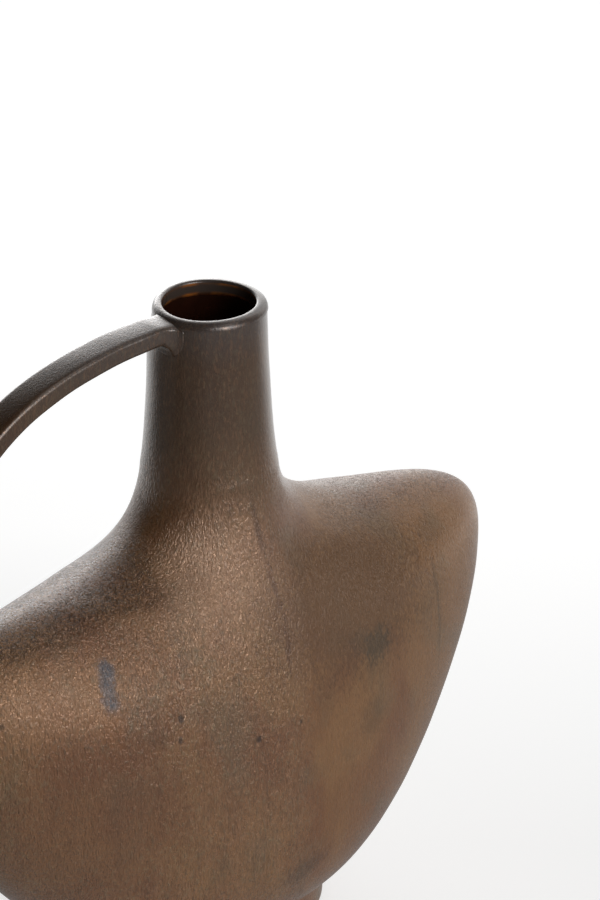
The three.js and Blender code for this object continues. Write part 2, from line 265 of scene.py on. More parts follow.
def hump(shares, end_share):
    """A smooth hump over the first part of the outline."""
    return np.sin(np.pi * np.minimum(shares / end_share, 1)) ** 2


def wing_outline(across, shares):
    """The wings' outline. The neck flares out more softly away from the wings' ends."""
    leave, arrive = SHOULDER_SHARES
    softer = 1 + FLARE_SPREAD_SHARE * (1 - across)
    flare = bend(NECK_FOOT, LEAVING, SHOULDER, DESCENT, (leave * softer, arrive))
    return along_curves((flare, *WING_CURVES), shares)


def body_face(angles, shares):
    """The body's outer face: a column for each angle round the axis and a row for each share of the
    outlines. The wings' outline lifts each ring towards its ends, which leaves a soft upright ridge
    in the middle of the face."""
    across = np.cos(angles)[:, None]
    forth = np.sin(angles)[:, None]
    fronts = np.array([wing_outline(abs(value), shares) for value in across[:, 0]])
    sides = along_curves(SIDE_CURVES, shares)
    soft = RIDGE_SOFT_SHARE
    lift = ((np.hypot(across, soft) - soft) / (math.hypot(1, soft) - soft)) ** LIFT_POWER
    slim = BODY_SLIM_SHARE * hump(shares, 1) + SHOULDER_SLIM_SHARE * hump(shares, SHOULDER_END_SHARE)
    width = sides[:, 0] * (1 - slim * across ** 2)
    level = sides[:, 1] + (fronts[..., 1] - sides[:, 1]) * lift
    lean = SHOULDER_LEAN * hump(shares, LEAN_END_SHARE)
    return np.stack([fronts[..., 0] * across, width * forth, level - lean * across], axis=-1)


def outward(points):
    """Unit normals of a grid of points round the axis."""
    normals = np.cross(np.gradient(points, axis=1), np.gradient(points, axis=0))
    normals /= np.linalg.norm(normals, axis=-1, keepdims=True)
    middle = normals[len(normals) // 2, points.shape[1] // 2]
    away = points[len(normals) // 2, points.shape[1] // 2]
    return normals * np.sign(middle[:2] @ away[:2])


def smooth_step(share):
    """An even rise from 0 to 1 that starts and ends softly."""
    share = min(max(share, 0), 1)
    return share * share * (3 - 2 * share)


def unevenness(point):
    """How far the maker's hands left the surface high or, mostly, low at a point."""
    nearest_joint = min(abs(point.z - JOINT), abs(point.z - FOOT_TOP))
    calm = smooth_step(nearest_joint / CALM_REACH)
    waves = sum(height * (noise.noise(point / size) - WAVE_SINK) for size, height in WAVES)
    return waves * calm


# Meshes

def finish_mesh(name, bm, *materials):
    """Turns a bmesh into a smooth object with crisp corners."""
    for face in bm.faces:
        face.smooth = True
    mesh = bpy.data.meshes.new(name)
    bm.to_mesh(mesh)
    bm.free()
    mesh.set_sharp_from_angle(angle=SEAM_ANGLE)
    for material in materials:
        mesh.materials.append(material)
    piece = bpy.data.objects.new(name, mesh)
    bpy.context.scene.collection.objects.link(piece)
    return piece


def dress(piece, slot, *nodes):
    """The piece stands for its nodes, which it hides, and hangs under the root body. The slot is not
    used.
    """
    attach(piece, "root")
    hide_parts(*nodes)


def shell(name, side, outside, inside):
    """One pressed half of the body, from the neck joint to the foot, as a closed wall."""
    angles = math.pi * with_thin_ends(BODY_TURN)
    shares = with_thin_ends(BODY_LEVELS)
    face = body_face(angles, shares)
    face[..., 1] *= side
    normals = outward(face)
    bumps = np.array([[unevenness(Vector(point)) for point in column] for column in face])
    outer = face + normals * bumps[..., None]

    inner_rows = np.linspace(INNER_MARGIN, len(shares) - 1 - INNER_MARGIN, INNER_LEVELS)
    inner = (face - normals * BODY_WALL)[:, inner_rows.round().astype(int)[::-1]]

    def ring(length, width, level):
        along = length * np.cos(angles)
        forth = side * width * np.sin(angles)
        return np.stack([along, forth, np.full_like(along, level)], axis=-1)[:, None]

    skirt = ROOT_RADIUS - BODY_WALL * LAP_SHARE
    bore = ROOT_RADIUS - BODY_WALL
    points = np.concatenate([
        outer,
        ring(FOOT_LENGTH - SEAT, FOOT_WIDTH - SEAT, FOOT_TOP),
        ring(FOOT_LENGTH - SEAT, FOOT_WIDTH - SEAT, FOOT_TOP + BODY_WALL),
        inner,
        ring(bore, bore, JOINT - LAP_DEPTH),
        ring(skirt, skirt, JOINT - LAP_DEPTH),
        ring(skirt, skirt, JOINT),
        outer[:, :1],
    ], axis=1)

    columns, rows = points.shape[:2]
    bm = bmesh.new()
    bmesh.ops.create_grid(bm, x_segments=rows - 1, y_segments=columns - 1, size=1)
    for vert, place in zip(bm.verts, points.reshape(-1, 3)):
        vert.co = place
    for index, quad in enumerate(bm.faces):
        quad.material_index = int(index % (rows - 1) >= len(shares))
    bmesh.ops.remove_doubles(bm, verts=bm.verts, dist=WELD)
    bmesh.ops.holes_fill(bm, edges=[edge for edge in bm.edges if edge.is_boundary], sides=0)
    bmesh.ops.recalc_face_normals(bm, faces=bm.faces)
    return finish_mesh(name, bm, outside, inside)


def neck_radius(level):
    """Outer radius of the neck and its lip at a level."""
    above = level - RIM_EDGE.y
    if above > 0:
        return MOUTH_RADIUS - LIP_OUTER_ROUND + math.sqrt(max(0, LIP_OUTER_ROUND ** 2 - above ** 2))
    radius, levels = NECK_OUTLINE[::-1].T
    return float(np.interp(level, levels, radius))


NECK_OUTLINE = along_curves([NECK_CURVE], with_thin_ends(NECK_LEVELS))


def neck_profile():
    """The neck's section, round from the lip down the outside and up the bore."""
    quarter = np.linspace(0, math.pi / 2, ROUND_STEPS + 1)
    inner = MOUTH_RADIUS - LIP + LIP_INNER_ROUND
    outer = MOUTH_RADIUS - LIP_OUTER_ROUND
    inner_edge = [
        (inner - LIP_INNER_ROUND * math.cos(a), RIM - LIP_INNER_ROUND * (1 - math.sin(a)))
        for a in quarter
    ]
    outer_edge = [
        (outer + LIP_OUTER_ROUND * math.sin(a), RIM - LIP_OUTER_ROUND * (1 - math.cos(a)))
        for a in quarter
    ]
    collar = RIM - COLLAR_HEIGHT
    skirt = ROOT_RADIUS - BODY_WALL * LAP_SHARE
    wall_top = LIP - COLLAR_STEP
    bore = [
        (radius - np.interp(level, (JOINT, collar), (BODY_WALL, wall_top)), level)
        for radius, level in NECK_OUTLINE[::-BORE_STRIDE] if level < collar - COLLAR_STEP
    ]
    return [
        *inner_edge,
        *outer_edge,
        *NECK_OUTLINE[1:],
        (skirt, JOINT),
        (skirt, JOINT - LAP_DEPTH),
        (ROOT_RADIUS - BODY_WALL, JOINT - LAP_DEPTH),
        *bore,
        (MOUTH_RADIUS - LIP + COLLAR_STEP, collar),
        (MOUTH_RADIUS - LIP, collar + COLLAR_STEP / 2),
    ]


def pressed(point):
    """The point after the rim was pressed in behind the handle, when the strap was joined on."""
    away = -point.dot(PRESS_WAY) / MOUTH_RADIUS
    if away <= 0:
        return point
    near = smooth_step(1 - (math.hypot(point.x, point.y) - MOUTH_RADIUS) / PRESS_FADE)
    high = smooth_step(1 - (RIM - point.z) / PRESS_DROP)
    return point + PRESS_WAY * PRESS_DEPTH * min(away, 1) ** 2 * near * high


def neck(outside, inside):
    """The thrown neck, turned from its section, with its waves on the outside only."""
    bm = bmesh.new()
    section = [bm.verts.new((radius, 0, level)) for radius, level in neck_profile()]
    edges = [bm.edges.new(pair) for pair in zip(section, section[1:] + section[:1])]
    bmesh.ops.spin(
        bm, geom=section + edges, cent=(0, 0, 0), axis=(0, 0, 1),
        angle=2 * math.pi, steps=NECK_TURN, use_merge=True,
    )
    bmesh.ops.remove_doubles(bm, verts=bm.verts, dist=WELD)
    bmesh.ops.recalc_face_normals(bm, faces=bm.faces)
    bm.normal_update()
    for quad in bm.faces:
        centre = quad.calc_center_median()
        depth = neck_radius(centre.z) - math.hypot(centre.x, centre.y)
        quad.material_index = int(depth > LIP / 2 and quad.normal.z < LIP_LEVEL)
    for vert in bm.verts:
        depth = neck_radius(vert.co.z) - math.hypot(vert.co.x, vert.co.y)
        if depth < MM / 10 and vert.co.z < RIM_EDGE.y:
            vert.co += vert.normal * unevenness(vert.co)
    for vert in bm.verts:
        vert.co = pressed(vert.co)
    return finish_mesh("neck_tube", bm, outside, inside)


def handle_line():
    """The strap's middle line as points and unit tangents, with close steps at both roots."""
    reach = TIP_REACH - HANDLE_INSET
    outline = body_face(np.array([math.pi]), np.linspace(0, 1, CURVE_STEPS))[0]
    rising = outline[:int(np.argmin(outline[:, 0]))]
    start = Vector((-(MOUTH_RADIUS - LIP / 2), 0, RIM - HANDLE_STEP - HANDLE_THICKNESS / 2))
    end = Vector((-reach, 0, float(np.interp(reach, -rising[:, 0], rising[:, 2]))))
    bends = [
        Vector((start.x + (end.x - start.x) * run, 0, start.z + (end.z - start.z) * fall))
        for run, fall in HANDLE_BEND_SHARES
    ]
    landing = (end - bends[1]).normalized()
    shares = np.sin(np.linspace(-math.pi / 2, math.pi / 2, HANDLE_ROWS)) / 2 + 0.5
    points = along_curves([(start, *bends, end + landing * BODY_WALL / 3)], shares)
    tangents = np.gradient(points, axis=0)
    return points, tangents / np.linalg.norm(tangents, axis=1, keepdims=True)


def fillet(distance, radius):
    """How far a fillet of the radius stands out at a distance from the face that it runs into."""
    left = min(max(radius - distance, 0), radius)
    return radius - math.sqrt(radius ** 2 - left ** 2)


def saddle(out):
    """How far the strap's upper face lies below the rim, at a distance outside the lip. It dips and
    then rises onto the lip's round, under which it ends."""
    lowest = HANDLE_STEP + SADDLE_DEPTH
    both = LIP_OUTER_ROUND + SADDLE_ROUND
    centre = math.sqrt(both ** 2 - (both - lowest) ** 2) - LIP_OUTER_ROUND
    touch = LIP_OUTER_ROUND * (centre + LIP_OUTER_ROUND) / both - LIP_OUTER_ROUND
    if out > centre:
        return HANDLE_STEP + SADDLE_DEPTH * smooth_step(1 - out / SADDLE_REACH)
    if out > touch:
        return lowest - SADDLE_ROUND + math.sqrt(SADDLE_ROUND ** 2 - (centre - out) ** 2)
    bevel = max(1 + out / LIP_OUTER_ROUND, 0)
    return LIP_OUTER_ROUND * (1 - math.sqrt(1 - bevel ** 2)) + MM / 10


def strap_section(bm):
    """Makes the strap's section as a face, its upper side at negative y: rounded edges, a little crown
    above and a fuller belly below."""
    bmesh.ops.create_grid(bm, x_segments=1, y_segments=1, size=0.5)
    bmesh.ops.scale(bm, vec=(HANDLE_WIDTH, HANDLE_THICKNESS, 1), verts=bm.verts)
    bmesh.ops.bevel(
        bm, geom=bm.verts[:], offset=HANDLE_EDGE, segments=ROUND_STEPS,
        profile=0.5, affect="VERTICES", material=-1,
    )
    sides = [edge for edge in bm.edges if edge.calc_length() > HANDLE_EDGE]
    bmesh.ops.subdivide_edges(bm, edges=sides, cuts=HANDLE_CUTS)
    for vert in bm.verts:
        share = 2 * vert.co.y / HANDLE_THICKNESS
        if share < 0:
            vert.co.y -= HANDLE_CROWN * share * (2 * vert.co.x / HANDLE_WIDTH) ** 2
        else:
            vert.co.y += HANDLE_BELLY * share


def into_rim(place, normal):
    """A point of the strap after its end was bent round the neck, spread with fillets in front, behind
    and below, and smoothed down onto the lip."""
    middle = MOUTH_RADIUS - LIP / 2
    radius = FAR_FILLET if place.y > 0 else NEAR_FILLET
    lip = neck_radius(place.z)
    half = HANDLE_WIDTH / 2
    centre = math.sqrt((lip + radius) ** 2 - (half + radius) ** 2)
    edge = min(2 * abs(place.y) / HANDLE_WIDTH, 1) ** 2
    upper = min(max(1 + (place.z - RIM) / HANDLE_THICKNESS, 0), 1)
    wrap = max(0, 1 + (place.x + middle) / ROOT_WRAP) ** 2
    wide = min(ROOT_SPREAD * abs(place.y), middle / 2)
    place.x += wrap * (middle - math.sqrt(middle ** 2 - wide ** 2))
    spread = min(fillet(radius - max(0, place.x + centre), radius), radius / 2)
    place.y *= 1 + spread / half
    place.z += min(normal.z, 0) * fillet(math.hypot(place.x, place.y) - lip, UNDER_FILLET)
    web = LIP_OUTER_ROUND * edge * 2 * spread / radius
    dip = saddle(math.hypot(place.x, place.y) - MOUTH_RADIUS)
    place.z -= (dip - HANDLE_STEP + web / 2) * upper
    return pressed(place)


def into_shoulder(place, normal, body):
    """A point of the strap after its lower end was worked into the shoulder with a fillet."""
    nearest, surface, _, distance = body.find_nearest(place)
    clear = distance if (place - nearest).dot(surface) > 0 else 0
    return place + normal * fillet(clear, SHOULDER_FILLET)


def strap(body, material):
    """The pulled handle: a crowned strap drawn along its line and worked into the rim and shoulder."""
    bm = bmesh.new()
    strap_section(bm)
    across = Vector((0, 1, 0))
    before = Matrix.Identity(4)
    verts, faces = bm.verts[:], bm.faces[:]
    sections = []
    for row, (place, way) in enumerate(zip(*handle_line())):
        way = Vector(way)
        here = Matrix((across, way.cross(across), way)).transposed().to_4x4()
        here.translation = place
        if row:
            grown = bmesh.ops.extrude_face_region(bm, geom=faces)["geom"]
            sections += faces
            verts = [item for item in grown if isinstance(item, bmesh.types.BMVert)]
            faces = [item for item in grown if isinstance(item, bmesh.types.BMFace)]
        bmesh.ops.transform(bm, matrix=here @ before.inverted(), verts=verts)
        before = here
    bmesh.ops.recalc_face_normals(bm, faces=bm.faces)
    bm.normal_update()

    for vert in bm.verts:
        normal = vert.normal.copy()
        if vert.co.z > (RIM + SHOULDER.y) / 2:
            vert.co = into_rim(vert.co.copy(), normal)
        else:
            vert.co = into_shoulder(vert.co.copy(), normal, body)
        vert.co += normal * unevenness(vert.co)

    # The sections left inside leaned the normals along the strap, and so laid its fillets over. They go
    # now, all but the first, which closes the end.
    bmesh.ops.delete(bm, geom=sections[1:], context="FACES_ONLY")
    bmesh.ops.recalc_face_normals(bm, faces=bm.faces)
    return finish_mesh("strap_handle", bm, material)


def oval(bm, level, inset):
    """An edge ring of the foot's oval, drawn in by the inset."""
    made = bmesh.ops.create_circle(bm, segments=FOOT_TURN, radius=1)
    verts = made["verts"]
    bmesh.ops.scale(bm, vec=(FOOT_LENGTH - inset, FOOT_WIDTH - inset, 1), verts=verts)
    bmesh.ops.translate(bm, vec=(0, 0, level), verts=verts)
    ring = set(verts)
    return [edge for edge in bm.edges if ring.issuperset(edge.verts)]


def foot(outside, underside):
    """The foot ring: an oval wall with a worn standing edge."""
    bm = bmesh.new()
    rings = [
        oval(bm, FOOT_TOP, 0),
        oval(bm, 0, FOOT_DRAFT),
        oval(bm, 0, FOOT_WALL),
        oval(bm, FOOT_TOP, FOOT_WALL),
    ]
    for here, there in zip(rings, rings[1:] + rings[:1]):
        bmesh.ops.bridge_loops(bm, edges=here + there)
    standing = [edge for edge in rings[1] + rings[2] if edge.is_valid]
    bmesh.ops.bevel(
        bm, geom=standing, offset=FOOT_ROUND, segments=ROUND_STEPS // 2,
        profile=0.5, affect="EDGES", material=-1,
    )
    bmesh.ops.recalc_face_normals(bm, faces=bm.faces)
    for quad in bm.faces:
        centre = quad.calc_center_median()
        outer = math.hypot(centre.x / FOOT_LENGTH, centre.y / FOOT_WIDTH)
        quad.material_index = int(centre.z < FOOT_ROUND or outer < 1 - FOOT_WALL / FOOT_LENGTH / 2)
    return finish_mesh("foot", bm, outside, underside)


def floor_slab(material):
    """The slab that closes the body inside the foot ring."""
    bm = bmesh.new()
    edges = oval(bm, FOOT_TOP, SEAT + SLAB_GAP)
    bottom = bmesh.ops.contextual_create(bm, geom=edges)["faces"]
    top = bmesh.ops.extrude_face_region(bm, geom=bottom)["geom"]
    verts = [item for item in top if isinstance(item, bmesh.types.BMVert)]
    bmesh.ops.translate(bm, vec=(0, 0, BODY_WALL), verts=verts)
    bmesh.ops.recalc_face_normals(bm, faces=bm.faces)
    return finish_mesh("floor", bm, material)


# Materials

def shade(hex_colour):
    """A colour written as sRGB hex, in the linear values that shaders take."""
    channels = [int(hex_colour[i:i + 2], 16) / 255 for i in (1, 3, 5)]
    return [c / 12.92 if c <= 0.04045 else ((c + 0.055) / 1.055) ** 2.4 for c in channels] + [1]


def new_material(name):
    """A material with nodes, its tree and its shader."""
    material = bpy.data.materials.new(name)
    material.use_nodes = True
    tree = material.node_tree
    return material, tree, tree.nodes["Principled BSDF"]


def add(tree, kind, inputs, **settings):
    """Adds a node. An input is a value or the output of another node, under its name or its number.
    A Mix node has its share at 0, its two numbers at 2 and 3, and its two colours at 6 and 7."""
    node = tree.nodes.new(kind)
    for name, value in settings.items():
        setattr(node, name, value)
    for key, value in inputs.items():
        if isinstance(value, bpy.types.NodeSocket):
            tree.links.new(value, node.inputs[key])
        else:
            node.inputs[key].default_value = value
    return node.outputs


# Layers of the bronze glaze, each a noise that covers part of the one below it: size, how much longer
# it is upright, where the noise starts to show and shows fully, the most that it covers, colour. The
# real crystals are far finer; here the smallest are as coarse as a pixel or two.

GLAZE_LAYERS = (
    (46 * MM, 1.4, 0.44, 0.66, 0.60, "#74462c"),     # broad drifts towards red where it lies thin
    (30 * MM, 1.3, 0.52, 0.72, 0.50, "#73624a"),     # olive drifts where it lies thick
    (6 * MM, 8.0, 0.50, 0.66, 0.22, "#996f50"),      # long pale runs
    (5 * MM, 7.0, 0.52, 0.68, 0.28, "#5a3f2a"),      # long dark runs
    (1.7 * MM, 1.5, 0.52, 0.66, 0.32, "#84795f"),    # grey-green specks
    (0.80 * MM, 4.4, 0.50, 0.65, 0.42, "#452e1c"),   # dark streaks
    (0.85 * MM, 4.2, 0.52, 0.67, 0.42, "#bd9172"),   # pinkish pale streaks
)
BROAD_LAYERS = 2                     # the first ones, which don't fade where the glaze is calm or thin
SPECKS = 4                           # numbers of the layers that stand out as relief
DARK_STREAKS = 5
PALE_STREAKS = 6
FULL_COLOUR = "#8f6742"
THIN_COVER = (0.8, "#3a2e24")        # laid under the specks where the glaze is thin: share and colour
GREY_COVER = (0.6, "#4b4a4c")        # and close to the rim

# Single marks on the front, most of them left by the kiln and a few painted highlight and painted
# shade, as
# noted: middle in mm, half sizes in mm, turn about the view in radians, how much they cover, colour.

MARKS = (
    ((-89.6, -38, 187.5), (4.8, 9, 7.0), 0.0, 1.0, "#24465a"),         # blue spot of another glaze
    ((-91.2, -38, 181.0), (4.4, 9, 7.0), 0.0, 1.0, "#24465a"),
    ((-91.8, -40, 174.5), (4.8, 9, 6.5), 0.0, 1.0, "#24465a"),
    ((-93.8, -44, 162.5), (6.0, 9, 14.0), -0.1, 0.35, "#94623a"),      # copper run below it
    ((-72.5, -51, 152.5), (9.0, 9, 6.0), 0.3, 0.30, "#4a3826"),
    ((-59.6, -51, 157.5), (1.6, 9, 3.0), 0, 0.85, "#35261b"),
    ((-61.2, -53, 147.5), (1.5, 9, 2.4), 0, 0.75, "#35261b"),
    ((-19.5, -58, 133.7), (1.8, 9, 2.2), 0, 0.80, "#33251b"),
    ((5.9, -58, 133.3), (1.1, 9, 1.4), 0, 0.70, "#33251b"),
    ((-141.3, -27, 175.3), (1.9, 9, 1.9), 0, 0.75, "#33251b"),
    ((-25, -36, 212), (34.0, 24, 44.0), -0.35, 0.34, "#c29b7c"),       # painted highlight: a paler patch on the breast where the front light's highlight falls
    ((-118, -36, 180), (50.0, 24, 24.0), 0.15, 0.34, "#bd8f68"),       # painted highlight: a paler patch likewise on the left wing's highlight band
    ((-105, -42, 112), (70.0, 34, 52.0), -0.4, 0.40, "#70472d"),       # redder and darker below the left wing: partly redder glaze, partly painted shade under the wing
    ((50, -47, 182), (66.0, 34, 50.0), 0, 0.60, "#5a422e"),            # painted shade: darker on the right face below the shoulder
    ((60.5, -52, 151.5), (9.5, 9, 11.0), 0.7, 0.55, "#4c4334"),        # greyish smudge
    ((50.5, -52, 156.0), (10.0, 9, 8.0), 0.5, 0.30, "#54483a"),
    ((53.2, -56, 116.1), (10.0, 9, 12.0), 0.2, 0.35, "#5a4531"),
    ((112.0, -30, 186.0), (9.0, 9, 8.0), 0.3, 0.25, "#5c4f3e"),
    ((6.0, -60, 52.0), (18.0, 9, 6.0), -0.25, 0.40, "#4b3a2c"),        # dark patch above the foot
    ((-0.8, -35, 230.0), (2.0, 9, 15.0), -0.1, 0.50, "#4d3526"),       # dark run down the ridge
    ((3.0, -43, 199.0), (2.0, 9, 19.0), -0.15, 0.45, "#553521"),
    ((4.2, -50, 172.0), (1.8, 9, 17.0), 0.08, 0.40, "#553521"),
    ((109.0, -38, 150.0), (1.6, 12, 34.0), -0.05, 0.35, "#544332"),    # painted shade: a thin dark line standing for a shallow crease beside the right edge
)
MARK_FRAY = 1.5                      # how much more the specks fray a mark's edge than the streaks do
MARK_EDGE = (2.4, 1.7)               # reach and fray together where a mark starts and is full


def glaze_layers(tree, place, thin, grey, shown):
    """The glaze's colour, layer on layer, and the layers' noises."""
    colour = shade(FULL_COLOUR)
    noises = []
    for number, (size, stretch, start, full, cover, tint) in enumerate(GLAZE_LAYERS):
        if number == SPECKS:
            for where, (most, thin_tint) in ((thin, THIN_COVER), (grey, GREY_COVER)):
                covered = add(tree, "ShaderNodeMath", {0: where, 1: most}, operation="MULTIPLY")[0]
                colour = add(tree, "ShaderNodeMix", {
                    0: covered, 6: colour, 7: shade(thin_tint),
                }, data_type="RGBA")[2]
        stretched = add(tree, "ShaderNodeMapping", {
            "Vector": place, "Location": [number * shift for shift in LAYER_SHIFT],
            "Rotation": (0, STREAK_TILT, 0), "Scale": (1 / size, 1 / size, 1 / (size * stretch)),
        })[0]
        noises.append(add(tree, "ShaderNodeTexNoise", {
            "Vector": stretched, "Scale": 1.0, "Detail": 2.0, "Roughness": 0.6, "Distortion": 0.4,
        })["Fac"])
        amount = add(tree, "ShaderNodeMapRange", {
            "Value": noises[-1], "From Min": start, "From Max": full, "To Max": cover,
        })[0]
        if number >= BROAD_LAYERS:
            amount = add(tree, "ShaderNodeMath", {0: amount, 1: shown}, operation="MULTIPLY")[0]
        colour = add(tree, "ShaderNodeMix", {
            0: amount, 6: colour, 7: shade(tint),
        }, data_type="RGBA")[2]
    return colour, noises


def shoulder_wrinkles(tree, place, top, thin, grainy):
    """Short wrinkles where the glaze lay flat and crept together, on top of the shoulders."""
    wrinkles = add(tree, "ShaderNodeTexNoise", {
        "Vector": place, "Scale": 1 / WRINKLE_SIZE, "Detail": 1.0, "Distortion": 1.0,
    })["Fac"]
    off_line = add(tree, "ShaderNodeMath", {0: wrinkles, 1: 0.5}, operation="SUBTRACT")[0]
    off_line = add(tree, "ShaderNodeMath", {0: off_line}, operation="ABSOLUTE")[0]
    crease = add(tree, "ShaderNodeMapRange", {
        "Value": off_line, "From Min": WRINKLE_WIDTH, "From Max": 0.0,
    }, interpolation_type="SMOOTHSTEP")[0]
    flat = add(tree, "ShaderNodeMath", {0: top, 1: thin}, operation="SUBTRACT", use_clamp=True)[0]
    flat = add(tree, "ShaderNodeMath", {0: flat, 1: grainy}, operation="MULTIPLY")[0]
    return add(tree, "ShaderNodeMath", {0: crease, 1: flat}, operation="MULTIPLY")[0]


def kiln_marks_and_painted_light(tree, place, colour, frayed):
    """The colour with the single marks over it, kiln marks and a few painted highlights and painted
    shade, whose edges are frayed by the grain.
    """
    for middle, half_sizes, turn, cover, tint in MARKS:
        within = add(tree, "ShaderNodeMapping", {
            "Vector": place, "Location": [value * MM for value in middle],
            "Rotation": (0, turn, 0), "Scale": [value * MM for value in half_sizes],
        }, vector_type="TEXTURE")[0]
        reach = add(tree, "ShaderNodeVectorMath", {0: within}, operation="LENGTH")["Value"]
        ragged = add(tree, "ShaderNodeMath", {0: frayed, 1: reach}, operation="ADD")[0]
        amount = add(tree, "ShaderNodeMapRange", {
            "Value": ragged, "From Min": MARK_EDGE[0], "From Max": MARK_EDGE[1], "To Max": cover,
        }, interpolation_type="SMOOTHSTEP")[0]
        colour = add(tree, "ShaderNodeMix", {
            0: amount, 6: colour, 7: shade(tint),
        }, data_type="RGBA")[2]
    return colour


def bronze_glaze(name, thin_from):
    """A satin, partly metallic bronze glaze on brown stoneware. Its crystals give it a leathery grain
    of short upright streaks that sparkle where light strikes it; from the given level up it gets
    thinner, darker, greyer and glossier."""
    material, tree, shader = new_material(name)
    place = add(tree, "ShaderNodeTexCoord", {})["Object"]
    axes = add(tree, "ShaderNodeSeparateXYZ", {"Vector": place})
    facing = add(tree, "ShaderNodeNewGeometry", {})["Normal"]
    upwards = add(tree, "ShaderNodeSeparateXYZ", {"Vector": facing})["Z"]
    top = add(tree, "ShaderNodeMapRange", {
        "Value": upwards, "From Min": TOP_RANGE[0], "From Max": TOP_RANGE[1],
    }, interpolation_type="SMOOTHSTEP")[0]
    thin = add(tree, "ShaderNodeMapRange", {
        "Value": axes["Z"], "From Min": thin_from, "From Max": THIN_TO,
    }, interpolation_type="SMOOTHSTEP")[0]
    grey = add(tree, "ShaderNodeMapRange", {
        "Value": axes["Z"], "From Min": RIM - GREY_DEPTH, "From Max": RIM,
    })[0]
    grainy = add(tree, "ShaderNodeMapRange", {
        "Value": axes["X"], "From Min": GRAINY_TO, "From Max": SMOOTH_FROM,
        "To Min": 1.0, "To Max": SMOOTH_SHARE,
    }, interpolation_type="SMOOTHSTEP")[0]
    thick = add(tree, "ShaderNodeMapRange", {"Value": thin, "To Min": 1.0, "To Max": THIN_SHOW})[0]
    shown = add(tree, "ShaderNodeMath", {0: grainy, 1: thick}, operation="MULTIPLY")[0]

    colour, noises = glaze_layers(tree, place, thin, grey, shown)
    crease = shoulder_wrinkles(tree, place, top, thin, grainy)
    # Painted shade: each wrinkle's crease is darkened in the colour, on top of its cut-in relief.
    dark = add(tree, "ShaderNodeMath", {0: crease, 1: WRINKLE_SHADE}, operation="MULTIPLY")[0]
    colour = add(tree, "ShaderNodeMix", {
        0: dark, 6: colour, 7: shade("#3a2c22"),
    }, data_type="RGBA")[2]
    frayed = add(tree, "ShaderNodeMath", {
        0: noises[SPECKS], 1: MARK_FRAY, 2: noises[DARK_STREAKS],
    }, operation="MULTIPLY_ADD")[0]
    colour = kiln_marks_and_painted_light(tree, place, colour, frayed)
    tree.links.new(colour, shader.inputs["Base Color"])

    rough = add(tree, "ShaderNodeMapRange", {
        "Value": thin, "To Min": ROUGHNESS[0], "To Max": ROUGHNESS[1],
    })[0]
    dull = add(tree, "ShaderNodeMapRange", {
        "Value": noises[DARK_STREAKS],
        "From Min": DULL_RANGE[0], "From Max": DULL_RANGE[1], "To Max": DULL_STREAKS,
    })[0]
    rough = add(tree, "ShaderNodeMath", {0: dull, 1: shown, 2: rough}, operation="MULTIPLY_ADD")[0]
    tree.links.new(rough, shader.inputs["Roughness"])
    metal = add(tree, "ShaderNodeMapRange", {
        "Value": noises[PALE_STREAKS], "From Min": METAL_RANGE[0], "From Max": METAL_RANGE[1],
        "To Min": METALLIC[0], "To Max": METALLIC[1],
    })[0]
    tree.links.new(metal, shader.inputs["Metallic"])

    height = add(tree, "ShaderNodeMath", {
        0: noises[SPECKS], 1: SPECK_HEIGHT, 2: noises[DARK_STREAKS],
    }, operation="MULTIPLY_ADD")[0]
    height = add(tree, "ShaderNodeMath", {0: height, 1: grainy}, operation="MULTIPLY")[0]
    height = add(tree, "ShaderNodeMath", {
        0: crease, 1: WRINKLE_HEIGHT, 2: height,
    }, operation="MULTIPLY_ADD")[0]
    firm = add(tree, "ShaderNodeMapRange", {"Value": thin, "To Min": 1.0, "To Max": THIN_GRAIN})[0]
    relief = add(tree, "ShaderNodeBump", {
        "Strength": firm, "Distance": GRAIN_HEIGHT, "Height": height,
    })[0]
    tree.links.new(relief, shader.inputs["Normal"])

    coat = add(tree, "ShaderNodeMath", {
        0: top, 1: TOP_COAT, 2: GRAINY_COAT,
    }, operation="MULTIPLY_ADD")[0]
    coat = add(tree, "ShaderNodeMath", {0: coat, 1: grainy, 2: COAT}, operation="MULTIPLY_ADD")[0]
    tree.links.new(coat, shader.inputs["Coat Weight"])
    tree.links.new(relief, shader.inputs["Coat Normal"])
    shader.inputs["Coat Roughness"].default_value = COAT_ROUGHNESS
    return material


